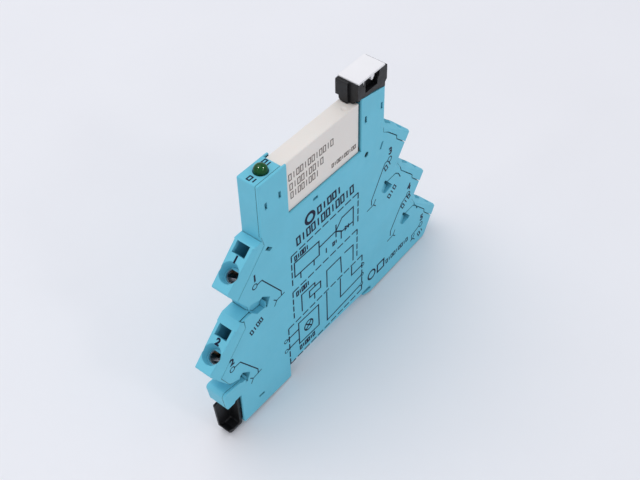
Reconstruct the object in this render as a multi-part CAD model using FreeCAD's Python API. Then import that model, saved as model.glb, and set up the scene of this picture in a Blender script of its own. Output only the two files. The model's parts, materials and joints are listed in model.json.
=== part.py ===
import FreeCAD, Part
import math
import os

# Slim plug-in relay with its rail socket.  Millimetres, +Z up.
# Origin: on the face that rests on a 35 mm rail, midway between the rail's two edges.
# +X runs from the coil terminals (A1, A2) to the contact terminals (14, 11, 12); Y is the thickness.

V = FreeCAD.Vector

# ---- driving dimensions -------------------------------------------------------------------
WIDTH = 6.2            # module width
HALF = WIDTH / 2
COVER = 0.8            # thickness of the side cover
WALL = 0.8             # thickness of the shell's back wall
INNER = HALF - WALL    # half the depth of the inside

RAIL_HALF = 17.6       # half the width of the recess for a 35 mm rail
HOOK_REACH = 3.5       # how far the fixed hook reaches under the rail's flange
HOOK_GAP = 1.2         # height of the slit for the rail's 1 mm flange
RECESS_RIGHT = RAIL_HALF - HOOK_REACH
SEAT_LEFT = -16.3      # the rail bears on the seat between here and the hook
SEAT_RELIEF = 0.1      # beyond that the recess is this much deeper

TOWER_TOP = 69.5
LEFT_TOWER = (-24.6, -14.9)
RIGHT_TOWER = (12.5, 21.6)
POCKET_FLOOR = 54.0
POCKET_LEFT = -16.1    # the pocket runs on behind the left tower's cheeks
POCKET_HALF = 2.6

RELAY_LENGTH = 28.0
RELAY_THICKNESS = 5.0
RELAY_HEIGHT = 15.0
RELAY_X = -15.9
RELAY_Z = POCKET_FLOOR
RELAY_WALL = 0.4
PIN_LENGTH = 3.7
PIN_X = {"coil_1": 4.2, "coil_2": 9.2, "nc": 14.2, "common": 20.2, "no": 25.2}

PIVOT = (14.6, 51.6)   # lever pivot (x, z)
TOWER_SLOPE = ((12.5, 70.3), (21.6, 68.6))    # the right tower's slanting top
LEVER_GAP = 0.2
SWING_GAP = 0.1        # between the tower's far corner and the head as it swings past
WELL_LEFT = 13.1       # start of the slot that the lever stands in
TRUNNION_R = 0.75
TRUNNION_HOLE_R = 0.8
TRUNNION_INSET = 0.4
LIP_HALF = 2.15        # half the width of the lip that holds the relay down
LIP_BOTTOM = 69.2
PLATE = 0.5            # thickness of the writing plate

FUNNEL_R = 2.65
FUNNEL_END_R = 2.1
FUNNEL_DEPTH = 2.3
PASSAGE_R = 1.85
PASSAGE_FLAT = 1.3     # the passage is D-shaped, cut flat this far above its axis
FUNNEL_AT = 4.75       # distance of its mouth from the block's outer corner, along the face
PASSAGE_AT = 4.3       # the funnel leans: its bottom and the passage lie nearer to the corner
RELEASE_AT = (9.4, 12.4)
RELEASE_HALF = 1.9
LIP = 1.2              # thickness of the face round the release opening
LIP_ROOM = (8.4, 12.7)
CHAMBER_START = 7.0
CHAMBER = (1.8, 12.6)

LATCH_Y = (-2.2, 1.6)
LATCH_GAP = 0.2
FOOT_BOTTOM = -6.2

BAR_Y = (-2.1, -1.5)   # the flat part of the busbars lies between these planes
BAR_WIDTH = 1.5
BAR_ROUTES = {         # corners of each busbar's path, from its terminal inwards
    "a1": [(-22.0, 33.4), (-19.6, 31.0)],
    "a2": [(-29.0, 18.0), (-19.0, 28.5)],
    "14": [(15.0, 43.6), (8.8, 45.2), (8.8, 47.4)],
    "11": [(20.0, 27.0), (3.8, 41.0), (3.8, 47.4)],
    "12": [(30.0, 5.0), (-2.2, 36.0), (-2.2, 47.4)],
}
BOARD_Y = (1.1, 1.9)

LED_X = -20.0
HEEL = (10.4, 9.3)     # clamp spring's heel, (a, d) in its terminal
LEAF_HALF = 1.35       # half the clamp spring's width

EDGE = 0.22            # rounding of the outer edges
SNAP_DEPTH = 1.6       # how far the latch windows reach into the shell
JUMPER_STEP = 1.7      # depth of the step in front of each jumper slit
SEAM = 0.2             # gap and rounding along the joint between cover and shell


# ---- building blocks ----------------------------------------------------------------------
def box(x0, x1, y0, y1, z0, z1):
    return Part.makeBox(x1 - x0, y1 - y0, z1 - z0, V(x0, y0, z0))


def corner_round(before, corner, after, radius):
    """Tangent points and middle of the arc that rounds a corner, in the XZ plane."""
    to_before = (before - corner).normalize()
    to_after = (after - corner).normalize()
    half_angle = to_before.getAngle(to_after) / 2
    reach = radius / math.tan(half_angle)
    middle_dir = (to_before + to_after).normalize()
    middle = corner + middle_dir * (radius / math.sin(half_angle) - radius)
    return corner + to_before * reach, middle, corner + to_after * reach


def outline_wire(points, y):
    """Closed wire through (x, z) or (x, z, corner radius) points."""
    corners = [V(p[0], y, p[1]) for p in points]
    radii = [p[2] if len(p) > 2 else 0.0 for p in points]
    count = len(corners)
    stops = []
    for i, corner in enumerate(corners):
        if radii[i] > 0:
            stops.append(corner_round(corners[i - 1], corner, corners[(i + 1) % count], radii[i]))
        else:
            stops.append((corner, None, corner))
    edges = []
    for i, (start, middle, end) in enumerate(stops):
        if middle is not None:
            edges.append(Part.Arc(start, middle, end).toShape())
        following = stops[(i + 1) % count][0]
        if (following - end).Length > 1e-6:
            edges.append(Part.LineSegment(end, following).toShape())
    return Part.Wire(edges)


def prism(points, y0, y1):
    """Outline in the XZ plane, extruded from y0 to y1."""
    return Part.Face(outline_wire(points, y0)).extrude(V(0, y1 - y0, 0))


def disc(x, z, radius, y0, y1):
    return Part.makeCylinder(radius, y1 - y0, V(x, y0, z), V(0, 1, 0))


def strip(points, width, y0, y1):
    """Flat strip of constant width along a path of (x, z) points."""
    pieces = []
    for (xa, za), (xb, zb) in zip(points, points[1:]):
        run = V(xb - xa, 0, zb - za)
        side = V(-run.z, 0, run.x).normalize() * (width / 2)
        quad = [(xa + side.x, za + side.z), (xb + side.x, zb + side.z),
                (xb - side.x, zb - side.z), (xa - side.x, za - side.z)]
        pieces.append(prism(quad, y0, y1))
    for x, z in points[1:-1]:
        pieces.append(disc(x, z, width / 2, y0, y1))
    return join(pieces)


def join(pieces):
    result = pieces[0]
    for piece in pieces[1:]:
        result = result.fuse(piece)
    return result.removeSplitter()


def cut(shape, tools):
    for tool in tools:
        shape = shape.cut(tool)
    return shape


def soften(shape, planes, radius):
    """Round the edges that lie wholly in the given Y planes."""
    chosen = []
    for edge in shape.Edges:
        span = edge.BoundBox
        for y in planes:
            if abs(span.YMin - y) < 1e-4 and abs(span.YMax - y) < 1e-4:
                chosen.append(edge)
    try:
        rounded = shape.makeFillet(radius, chosen)
        if rounded.isValid():
            return rounded
    except Part.OCCError:
        pass
    print("edges left sharp")
    return shape


# ---- terminals ----------------------------------------------------------------------------
class Terminal:
    """A wire terminal.  `a` runs up the slanting face from its outer corner, `d` into the block."""

    def __init__(self, name, corner, top, root, chamber_end):
        self.name = name
        self.corner = V(corner[0], 0, corner[1])
        self.top = V(top[0], 0, top[1])
        self.root = V(root[0], 0, root[1])
        self.length = (self.top - self.corner).Length
        self.up = (self.top - self.corner).normalize()
        self.left = self.corner.x < 0
        turn = 1 if self.left else -1
        self.inward = V(self.up.z * turn, 0, -self.up.x * turn)
        self.chamber_end = chamber_end

    def place(self, a, d, y=0.0):
        return self.corner + self.up * a + self.inward * d + V(0, y, 0)

    def spot(self, a, d):
        p = self.place(a, d)
        return (p.x, p.z)

    def lower_edge(self, d):
        """The point on the block's lower edge at depth d."""
        along = (self.root - self.corner).normalize()
        p = self.corner + along * (d / along.dot(self.inward))
        return (p.x, p.z)

    def prism(self, points, y0, y1):
        return prism([self.spot(a, d) for a, d in points], y0, y1)

    def passages(self):
        """Wire funnel, D-shaped wire passage, release shaft and spring chamber."""
        bottom = self.place(PASSAGE_AT, FUNNEL_DEPTH)
        lean = (self.place(FUNNEL_AT, 0) - bottom) / FUNNEL_DEPTH
        proud = FUNNEL_DEPTH + 0.6        # the cone starts in front of the face, so its mouth is clean
        widening = (FUNNEL_R - FUNNEL_END_R) / FUNNEL_DEPTH
        funnel = Part.makeCone(FUNNEL_END_R, FUNNEL_END_R + widening * proud,
                               (lean * proud).Length, bottom, lean)
        reach = CHAMBER_START + 0.5
        passage = Part.makeCylinder(PASSAGE_R, reach, self.place(PASSAGE_AT, 0), self.inward)
        flat_a = PASSAGE_AT + PASSAGE_FLAT
        flat = self.prism([(flat_a, FUNNEL_DEPTH), (flat_a + 3, FUNNEL_DEPTH),
                           (flat_a + 3, reach + 1), (flat_a, reach + 1)], -3, 3)
        low, high = RELEASE_AT
        shaft = self.prism([(low, -1), (high, -1), (high, reach), (low, reach)],
                           -RELEASE_HALF, RELEASE_HALF)
        low, high = LIP_ROOM
        room = self.prism([(low, LIP), (high, LIP), (high, reach), (low, reach)], -INNER, INNER)
        low, high = CHAMBER
        chamber = self.prism([(low, CHAMBER_START), (high, CHAMBER_START),
                              (high, self.chamber_end), (low, self.chamber_end)], -INNER, INNER)
        return [funnel, passage.cut(flat), shaft, room, chamber]

    def side_tapers(self):
        """Slabs that shave a shallow taper off both sides of the block, next to its face."""
        top_depth, low_depth, bite = (1.8, 4.4, 0.7) if self.left else (2.2, 0.4, 0.45)
        slabs = []
        for side in (-1, 1):
            first = self.place(0, low_depth, side * HALF)
            second = self.place(self.length, top_depth, side * HALF)
            third = self.place(0, 0, side * (HALF - bite))
            along = (second - first).normalize()
            normal = along.cross(third - first).normalize()
            if normal.y * side < 0:
                normal = normal * -1
            outward = (third - first) - along * along.dot(third - first)
            outward = outward.normalize()
            foot = first - along * 1.5
            head = second
            face = Part.Face(Part.makePolygon([foot, head, head + outward * 8,
                                               foot + outward * 8, foot]))
            slabs.append(face.extrude(normal * 2))
        return slabs


TERMINALS = [
    Terminal("a1", (-36.7, 44.3), (-27.1, 52.6), (-30.9, 35.4), 13.2),
    Terminal("a2", (-45.4, 22.9), (-35.6, 31.3), (-36.9, 13.4), 13.2),
    Terminal("14", (33.2, 47.1), (21.6, 58.2), (28.6, 40.4), 13.4),
    Terminal("11", (41.3, 27.3), (28.6, 40.4), (36.9, 20.9), 13.4),
    Terminal("12", (48.6, 8.3), (36.9, 20.9), (43.6, -0.7), 11.6),
]
A1, A2, T14, T11, T12 = TERMINALS

# left wedge-shaped gaps and the hook block over the foot
A1_ROOT = (-30.9, 35.4)
A2_VERTEX = (-30.2, 32.8)
A2_SHOULDER = (-33.9, 32.6)
HOOK_TOP = (-34.9, 11.3)
HOOK_TIP = (-42.6, 12.3)
HOOK_LOW = (-41.7, 5.8)
LEG_LEFT = -36.4
LEG_BOTTOM = -5.5


def xz(point):
    return (point.x, point.z)


def rail_side():
    """Underside from the fixed hook to the hook block over the foot."""
    return [
        (RECESS_RIGHT + 3.0, -2.4, 0.4), (RECESS_RIGHT, -HOOK_GAP),
        (RAIL_HALF, -HOOK_GAP), (RAIL_HALF, SEAT_RELIEF), (RECESS_RIGHT, SEAT_RELIEF),
        (RECESS_RIGHT, 0.0), (SEAT_LEFT, 0.0), (SEAT_LEFT, SEAT_RELIEF), (-RAIL_HALF, SEAT_RELIEF),
        (-RAIL_HALF, LEG_BOTTOM, 0.4), (LEG_LEFT, LEG_BOTTOM, 0.4),
        (LEG_LEFT, 6.4, 0.4), (-38.7, 6.4), (-39.1, 5.8), HOOK_LOW + (0.5,), HOOK_TIP + (1.2,),
        HOOK_TOP, (-36.9, 13.4), (-39.9, 14.6, 2.0),
    ]


def outline():
    """Side outline of the socket, clockwise from the left tower's top."""
    return [
        (LEFT_TOWER[0], TOWER_TOP, 0.4), (POCKET_LEFT + 1.7, TOWER_TOP, 0.3),
        (LEFT_TOWER[1], POCKET_FLOOR, 0.5), (RIGHT_TOWER[0], POCKET_FLOOR),
        (RIGHT_TOWER[0], 72.5), (RIGHT_TOWER[1], 72.5),
        xz(T14.top), xz(T14.corner) + (0.6,), xz(T14.root),
        xz(T11.corner) + (0.6,), xz(T11.root),
        xz(T12.corner) + (0.6,), xz(T12.root) + (1.5,),
    ] + rail_side() + [
        xz(A2.corner) + (0.6,), xz(A2.top) + (1.5,), A2_SHOULDER, A2_VERTEX, A1_ROOT,
        xz(A1.corner) + (0.6,), xz(A1.top) + (1.0,), (LEFT_TOWER[0], 52.6),
    ]


def cover_outline(gap=0.0):
    """The side cover stops short of the terminals' slanting faces, and leaves a gap there."""
    left_seam = (14.0, 3.2 + gap)
    right_seam = [(10.9, 2.4 + gap), (5.6, 2.4 + gap), (4.7, 3.2 + gap)]
    right_top = (13.4, 2.4 + gap)
    right_low = 3.2 + gap
    left_low = 4.4 + gap
    points = [
        (LEFT_TOWER[0], TOWER_TOP, 0.4), (LEFT_TOWER[1], TOWER_TOP, 0.3),
        (LEFT_TOWER[1], POCKET_FLOOR, 0.5), (RIGHT_TOWER[0], POCKET_FLOOR),
        (RIGHT_TOWER[0], 72.5), (RIGHT_TOWER[1], 72.5), (RIGHT_TOWER[1], 54.2),
    ]
    points += [T14.spot(*p) for p in right_seam] + [T14.lower_edge(right_low), xz(T14.root)]
    points += [T11.spot(*right_top)] + [T11.spot(*p) for p in right_seam[1:]]
    points += [T11.lower_edge(right_low), xz(T11.root)]
    points += [T12.spot(*right_top)] + [T12.spot(*p) for p in right_seam[1:]]
    points += [T12.lower_edge(right_low), xz(T12.root) + (1.5,)]
    points += rail_side()
    points += [
        A2.lower_edge(left_low), A2.spot(*left_seam), (-32.9 + gap, 31.9 + gap / 2),
        (A2_SHOULDER[0] + 2.5 * gap, A2_SHOULDER[1] - gap), (A2_VERTEX[0], A2_VERTEX[1] - gap),
        A1_ROOT, A1.lower_edge(left_low), A1.spot(*left_seam), (LEFT_TOWER[0], 53.8),
    ]
    return points


# ---- housing ------------------------------------------------------------------------------
def cavity():
    """The hollow inside between the back wall and the cover."""
    rooms = [
        box(-23.4, -17.8, -INNER, INNER, 28.0, 67.0),
        box(-23.4, 18.2, -INNER, INNER, 1.2, 52.0),
        box(-32.4, -23.0, -INNER, INNER, 1.2, 28.0),
        box(18.0, 26.5, -INNER, INNER, 1.0, 31.0),
        box(18.0, 21.5, -INNER, INNER, 30.0, 46.5),
        box(26.0, 34.5, -INNER, INNER, 1.0, 12.5),
        box(26.0, 31.0, -INNER, INNER, 12.0, 22.0),
        box(7.2, 18.2, -INNER, INNER, 46.0, POCKET_FLOOR + 1),
    ]
    return rooms


def lever_well():
    """Open slot in the right tower: the lever stands in it and swings out of its +X end."""
    return [
        box(WELL_LEFT, 24.0, -INNER, INNER, 58.6, 73.0),
        prism([(WELL_LEFT, 47.0), (18.2, 47.0), (18.6, 52.0), (24.0, 60.8), (WELL_LEFT, 60.8)],
              -INNER, INNER),
    ]


def lip_notch():
    """Gap in the wall between relay and lever, for the lip of the lever's head."""
    return box(RIGHT_TOWER[0] - 0.1, WELL_LEFT + 0.1, -LIP_HALF - 0.2, LIP_HALF + 0.2, 68.8, 74.0)


def above_tower(gap=0.0):
    """Everything above the right tower's slanting top, which falls away in the lever's direction."""
    (xa, za), (xb, zb) = TOWER_SLOPE
    rise = (zb - za) / (xb - xa)
    left, right = RIGHT_TOWER[0] - 0.6, RIGHT_TOWER[1] + 3.0
    return prism([(left, za + (left - xa) * rise + gap), (left, 80.0), (right, 80.0),
                  (right, za + (right - xa) * rise + gap)], -HALF - 1, HALF + 1)


def ramp(start, end, run, shallow_y, deep_y):
    """Wedge in front of a slanting floor: deepest along start..end, rising over `run` below it."""
    along = V(end[0] - start[0], 0, end[1] - start[1])
    down = V(along.z, 0, -along.x).normalize() * run
    deep = V(start[0], deep_y, start[1])
    shallow = V(start[0], shallow_y, start[1]) + down
    front = V(0, -HALF - 1 - deep_y, 0)
    ahead = V(0, -HALF - 1 - shallow_y, 0)
    corners = [deep, shallow, shallow + ahead, deep + front, deep]
    return Part.Face(Part.makePolygon(corners)).extrude(along)


def bridge_pockets():
    """Where jumper combs plug in: a shallow step in the face with a deeper hooked slit."""
    shallow = []
    deep = []
    floor_y = -HALF + JUMPER_STEP
    for dx, dz in ((0.0, 0.0), (-9.2, -20.4)):
        near = [(-30.6, 35.5), (-29.6, 35.5), (-26.7, 34.5), (-24.6, 33.3), (-25.6, 30.4),
                (-28.2, 30.6), (-30.4, 33.0)]
        if dx:
            near = [(-27.3, 33.9), (-26.7, 34.5), (-24.6, 33.3), (-25.2, 31.2), (-27.0, 31.6)]
        shallow.append(prism([(x + dx, z + dz) for x, z in near], -HALF - 1, floor_y))
        hook = [(-27.0, 34.6), (-26.0, 34.9), (-23.4, 32.7), (-24.6, 30.0), (-25.3, 30.2),
                (-24.9, 32.2), (-26.9, 33.6)]
        deep.append(prism([(x + dx, z + dz) for x, z in hook], -HALF - 1, 1.2))
    for dx, dz in ((0.0, 0.0), (9.3, -19.0)):
        lens = [(21.2, 34.0, 0.8), (22.8, 36.4, 0.5), (26.0, 32.4, 0.5), (23.0, 31.9, 0.8)]
        mouth = prism([(p[0] + dx, p[1] + dz, p[2]) for p in lens], -HALF - 1, floor_y)
        wedge = ramp((21.0 + dx, 37.9 + dz), (27.4 + dx, 31.6 + dz), 3.4, -HALF + 0.3, floor_y)
        shallow.append(mouth.common(wedge))
        slit = [(22.4, 36.4), (23.1, 36.7), (26.2, 32.9), (25.6, 32.4)]
        deep.append(prism([(x + dx, z + dz) for x, z in slit], -HALF - 1, 1.2))
        groove = strip([(23.4 + dx, 35.6 + dz), (27.6 + dx, 35.9 + dz), (28.9 + dx, 34.9 + dz),
                        (29.9 + dx, 33.0 + dz)], 0.35, -HALF - 1, -HALF + 0.3)
        shallow.append(groove)
    return shallow, deep


def snap_slits():
    """Small windows through the cover, with a pocket behind, where the two halves latch."""
    slits = []
    floor_y = -HALF + COVER + SNAP_DEPTH
    for x, z in ((-22.4, 62.3), (-17.7, 62.3), (14.1, 63.1), (20.4, 63.4)):
        slits.append(box(x - 0.4, x + 0.4, -HALF - 1, floor_y, z - 1.0, z + 1.0))
    slits.append(prism([(-23.8, 49.2), (-22.8, 49.7), (-21.3, 48.1), (-22.3, 47.7)],
                       -HALF - 1, floor_y))
    slits.append(box(-6.2, -4.4, -HALF - 1, floor_y, 51.4, 52.3))
    slits.append(prism([(20.0, 49.4), (20.7, 49.2), (21.7, 51.2), (21.0, 51.4)], -HALF - 1, floor_y))
    slits.append(box(-30.3, -28.3, -HALF - 1, floor_y, -1.4, -0.6))
    return slits


def pivot_holes(y0, y1):
    return disc(PIVOT[0], PIVOT[1], TRUNNION_HOLE_R, y0, y1)


def relay_pocket():
    return box(POCKET_LEFT, RIGHT_TOWER[0], -POCKET_HALF, POCKET_HALF, POCKET_FLOOR, 80.0)


def pin_slots():
    slots = []
    for key, x in PIN_X.items():
        if key != "no":
            slots.append(box(RELAY_X + x - 0.55, RELAY_X + x + 0.55, -0.9, 0.9, 50.0, 55.0))
    return slots


def latch_channel():
    y0, y1 = LATCH_Y[0] - LATCH_GAP, LATCH_Y[1] + LATCH_GAP
    return [
        box(LEG_LEFT - 1, -RAIL_HALF + 1, y0, y1, -4.4, -1.1),
        box(-41.1, -36.2, y0, y1, 5.0, 9.4),
        box(-39.0, LEG_LEFT + 0.6, y0, y1, -4.4, 9.4),
    ]


def housing_shell():
    body = soften(prism(outline(), -HALF, HALF), (HALF,), EDGE)
    shallow, deep = bridge_pockets()
    body = body.cut(prism(cover_outline(), -HALF - 1, -HALF + COVER))
    body = cut(body, cavity() + lever_well() + snap_slits())
    body = cut(body, [above_tower(), lip_notch(), relay_pocket()])
    body = cut(body, busbar_channels())
    body = cut(body, pin_slots() + latch_channel() + deep + shallow)
    for terminal in TERMINALS:
        body = cut(body, terminal.passages() + terminal.side_tapers())
    body = body.cut(pivot_holes(-HALF - 1, HALF + 1))
    body = body.cut(Part.makeCylinder(1.6, 5, V(LED_X, 0, 66.0), V(0, 0, 1)))
    return largest(body)


def side_cover():
    plate = soften(prism(cover_outline(SEAM), -HALF, -HALF + COVER), (-HALF,), EDGE)
    plate = soften(plate, (-HALF + COVER,), SEAM)
    shallow, deep = bridge_pockets()
    plate = cut(plate, shallow + deep + snap_slits() + [above_tower(), relay_pocket()])
    for terminal in TERMINALS:
        plate = cut(plate, terminal.side_tapers())
    return largest(plate.cut(pivot_holes(-HALF - 1, 0)))


def largest(shape):
    """A boolean result can be a compound: keep its one real solid."""
    solids = sorted(shape.Solids, key=lambda s: s.Volume)
    return solids[-1]


# ---- board and its parts ------------------------------------------------------------------
def circuit_board():
    return prism([(-23.0, 60.0), (-18.2, 60.0), (-18.2, 49.6), (-4.0, 49.6), (-4.0, 26.0),
                  (-20.4, 26.0), (-20.4, 47.8), (-23.0, 50.0)], *BOARD_Y)


def board_part(x0, x1, z0, z1, height):
    """Moulded body that stands on the board."""
    body = box(x0, x1, BOARD_Y[0] - height, BOARD_Y[0], z0, z1)
    edges = [e for e in body.Edges if e.BoundBox.YMax < BOARD_Y[0] - height + 1e-4]
    return body.makeChamfer(0.2, edges)


def led_emitter():
    body = Part.makeCylinder(1.5, 3.2, V(LED_X, 0, 60.6))
    collar = Part.makeCylinder(1.75, 0.7, V(LED_X, 0, 60.4))
    legs = [box(LED_X + s - 0.22, LED_X + s + 0.22, 0.4, 0.85, 57.4, 60.5) for s in (-1.1, 1.1)]
    legs += [box(LED_X + s - 0.22, LED_X + s + 0.22, 0.4, BOARD_Y[0], 57.4, 57.85)
             for s in (-1.1, 1.1)]
    return join([body, collar] + legs)


def led_lens():
    """Light guide with a domed head."""
    radius = 1.75
    height = 1.7
    sphere_r = (radius ** 2 + height ** 2) / (2 * height)
    ball = Part.makeSphere(sphere_r, V(LED_X, 0, TOWER_TOP + 0.25 + height - sphere_r))
    keep = Part.makeCylinder(radius + 1, 5, V(LED_X, 0, TOWER_TOP + 0.25))
    rim = Part.makeCylinder(radius, 0.26, V(LED_X, 0, TOWER_TOP))
    stem = Part.makeCylinder(1.5, TOWER_TOP - 64.2 + 0.1, V(LED_X, 0, 64.2))
    return join([ball.common(keep), rim, stem])


# ---- busbars and clamps -------------------------------------------------------------------
def bar_path(terminal):
    start = terminal.spot(2.9, terminal.chamber_end - 1.0)
    return [start] + BAR_ROUTES[terminal.name]


def busbar_channels():
    """Room for the busbars where they pass through the shell's ribs."""
    return [strip(bar_path(t), BAR_WIDTH + 0.5, -INNER, BAR_Y[1] + 0.25) for t in TERMINALS]


def terminal_plate(terminal):
    """Where the wire is clamped: a plate along the bottom of the spring chamber."""
    end = terminal.chamber_end - 0.3
    plate = terminal.prism([(2.0, 7.6), (2.7, 7.4), (2.7, end), (2.0, end)], -1.9, 1.9)
    ear = terminal.prism([(2.0, end - 2.2), (3.6, end - 2.2), (3.6, end), (2.0, end)], *BAR_Y)
    return [plate, ear]


def tulip(x):
    """Sprung receptacle for one relay pin."""
    leaves = [box(x + s * 0.55 - 0.2, x + s * 0.55 + 0.2, BAR_Y[0], 0.6, 47.6, 51.6) for s in (-1, 1)]
    base = box(x - 0.75, x + 0.75, BAR_Y[0], 0.6, 47.2, 47.7)
    return join(leaves + [base])


def busbar(terminal, pin=None):
    pieces = terminal_plate(terminal)
    path = bar_path(terminal)
    pieces.append(strip(path, BAR_WIDTH, *BAR_Y))
    if pin is not None:
        pieces.append(tulip(RELAY_X + PIN_X[pin]))
    else:
        x, z = path[-1]
        pieces.append(box(x - 0.5, x + 0.5, BAR_Y[0], BOARD_Y[0], z - 0.5, z + 0.5))
    return join(pieces)


def coil_receptacles():
    solids = []
    for key in ("coil_1", "coil_2"):
        x = RELAY_X + PIN_X[key]
        leaves = [box(x + s * 0.55 - 0.2, x + s * 0.55 + 0.2, -0.6, 0.6, 47.6, 51.6) for s in (-1, 1)]
        base = box(x - 0.75, x + 0.75, -0.6, BOARD_Y[0], 47.2, 47.7)
        solids.append(join(leaves + [base]))
    return Part.makeCompound(solids)


def clamp_spring(terminal):
    """Bent leaf: its tip presses the wire on the busbar, its heel rests in the chamber."""
    heel_a, heel_d = HEEL
    heel_r, leaf = 1.0, 0.35
    loop = Part.makeCylinder(heel_r, 2 * LEAF_HALF, terminal.place(heel_a, heel_d, -LEAF_HALF), V(0, 1, 0))
    hollow = Part.makeCylinder(heel_r - leaf, 4, terminal.place(heel_a, heel_d, -2), V(0, 1, 0))
    bite = terminal.prism([(heel_a - 3, heel_d), (heel_a, heel_d), (heel_a, heel_d + 3),
                           (heel_a - 3, heel_d + 3)], -2, 2)
    reach = terminal.chamber_end - 1.2
    leg = terminal.prism([(heel_a, heel_d - heel_r), (heel_a, heel_d - heel_r + leaf),
                          (3.0, reach), (3.0, reach - leaf)], -LEAF_HALF, LEAF_HALF)
    tail = terminal.prism([(heel_a + heel_r - leaf, heel_d), (heel_a + heel_r, heel_d),
                           (heel_a + heel_r, heel_d + 1.2), (heel_a + heel_r - leaf, heel_d + 1.2)],
                          -LEAF_HALF, LEAF_HALF)
    return join([loop.cut(hollow).cut(bite), leg, tail])


# ---- rail latch ---------------------------------------------------------------------------
def foot_latch():
    y0, y1 = LATCH_Y
    foot = prism([(-42.4, 4.6, 0.3), (-41.6, -5.2, 0.3), (-40.7, FOOT_BOTTOM, 0.3),
                  (-36.6, FOOT_BOTTOM, 0.3), (-36.6, 5.5), (-39.4, 5.5), (-39.8, 4.6)], y0, y1)
    grip = prism([(-44.0, 6.0), (-44.0, -4.6), (-41.3, -4.6), (-39.9, FOOT_BOTTOM + 0.9, 0.4),
                  (-37.5, FOOT_BOTTOM + 0.9, 0.4), (-37.5, 6.0)], y0 - 1, y1 - 0.6)
    grip = grip.makeFillet(0.5, [e for e in grip.Edges if e.BoundBox.YMin > y1 - 0.61
                                 and e.BoundBox.XMax < -37.0 and e.BoundBox.ZMax < 5.9
                                 and e.BoundBox.XMin > -43.0])
    finger = prism([(-38.4, 5.0), (-38.4, 8.9, 0.6), (-36.8, 8.9, 0.6), (-36.8, 5.0)], y0, y1)
    bar = prism([(-37.0, -4.2), (-37.0, -1.3), (-16.5, -1.3), (-16.5, -1.9, 0.2),
                 (-18.6, -4.2, 0.3)], y0, y1)
    slot = box(-34.5, -22.0, y0 - 1, y0 + 1.0, -3.4, -2.1)
    return join([foot.cut(grip), finger, bar]).cut(slot)


# ---- retaining lever ----------------------------------------------------------------------
HEAD_X = (10.2, 22.2)
PRONG_Y = 2.4          # the writing plate's small prongs lie outside this, in notches of the head
HEAD_STEP = 0.7        # the printed side's half of the head's end is set back by this much
HEAD_TOP = 75.0
HEAD_LOW = 70.4        # underside of the head's outer corners, over the relay


def retaining_lever():
    px, pz = PIVOT
    arm = prism([(WELL_LEFT + 0.15, pz), (WELL_LEFT + 0.15, 71.6), (19.0, 71.6),
                 (px + 2.1, pz + 5.0), (px + 2.1, pz)], -2.1, 2.1)
    boss = disc(px, pz, 2.1, -2.1, 2.1).cut(box(px - 3, WELL_LEFT + 0.15, -3, 3, pz - 3, pz + 3))
    head = prism([(HEAD_X[0], HEAD_LOW, 0.3), (HEAD_X[0], HEAD_TOP, 0.3), (HEAD_X[1], HEAD_TOP, 0.6),
                  (HEAD_X[1], 70.6, 0.3), (21.5, 69.9), (21.5, 67.0), (12.2, 67.0),
                  (12.2, HEAD_LOW)], -HALF, HALF)
    tower_side = box(12.2, 30.0, -HALF - 1, HALF + 1, 60.0, 80.0).cut(above_tower(LEVER_GAP))
    far_corner = math.hypot(RIGHT_TOWER[1] - px, TOWER_SLOPE[1][1] - pz)
    swept = disc(px, pz, far_corner + SWING_GAP, -HALF - 1, HALF + 1)
    head = cut(head, [tower_side, swept])
    lip = box(HEAD_X[0], 12.2, -LIP_HALF, LIP_HALF, LIP_BOTTOM, 72.6)
    under = [e for e in lip.Edges if e.BoundBox.ZMax < LIP_BOTTOM + 0.1 and e.BoundBox.XLength > 1]
    lip = lip.makeFillet(0.95, under)
    toes = [prism([(px, pz + 1.6), (8.2, RELAY_Z - LEVER_GAP), (8.2, RELAY_Z - 1.1),
                   (px, pz - 1.2)], y0, y1) for y0, y1 in ((-2.1, -1.1), (1.1, 2.1))]
    trunnion = disc(px, pz, TRUNNION_R, -HALF + TRUNNION_INSET, HALF - TRUNNION_INSET)
    lever = join([arm, boss, head, lip, trunnion] + toes)
    recess = [box(HEAD_X[0] - 1, HEAD_X[0] + HEAD_STEP, -HALF - 1, -0.5, 60.0, HEAD_TOP + 1)]
    for side in (-1, 1):
        y0, y1 = sorted((side * 1.5, side * (HALF + 1)))
        recess.append(prism([(13.7, 71.3), (13.7, 77.0), (19.1, 77.0), (19.1, 73.4), (18.4, 72.6),
                             (18.4, 71.3)], y0, y1))
        y0, y1 = sorted((side * PRONG_Y, side * (HALF + 1)))
        recess.append(prism([(12.4, 77.0), (13.05, 73.0), (13.7, 77.0)], y0, y1))
    window = box(16.2, 18.2, -2.7, 2.7, 72.6, 77.0)
    return largest(cut(lever, recess + [window]))


def marker_plate():
    """Writing plate that clips on the lever's head."""
    left, right = HEAD_X[0] + HEAD_STEP + 0.3, HEAD_X[1] - 0.9
    top = prism([(left, HEAD_TOP), (left, HEAD_TOP + PLATE, 0.15), (right, HEAD_TOP + PLATE, 0.15),
                 (right, HEAD_TOP)], -HALF, HALF)
    clip = prism([(16.5, HEAD_TOP), (16.8, 73.0), (17.3, 73.0), (17.9, 73.8), (17.9, HEAD_TOP)],
                 -2.5, 2.5)
    prongs = [prism([(12.9, HEAD_TOP), (13.05, 73.9), (13.2, HEAD_TOP)],
                    *sorted((side * HALF, side * (PRONG_Y + 0.1))))
              for side in (-1, 1)]
    return join([top, clip] + prongs)


# ---- relay --------------------------------------------------------------------------------
BASE_H = 1.6
YOKE_Z = (2.0, 3.0)
COIL_Z = (3.6, 11.0)
COIL_X = (2.4, 11.6)
CORE_Z = 7.3
ARMATURE_X = 13.2
ARM_HINGE_Z = 2.5
SPRING_X = PIN_X["common"]
PUSHER_Z = (11.9, 12.9)


def rx(x):
    return RELAY_X + x


def rz(z):
    return RELAY_Z + z


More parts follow.
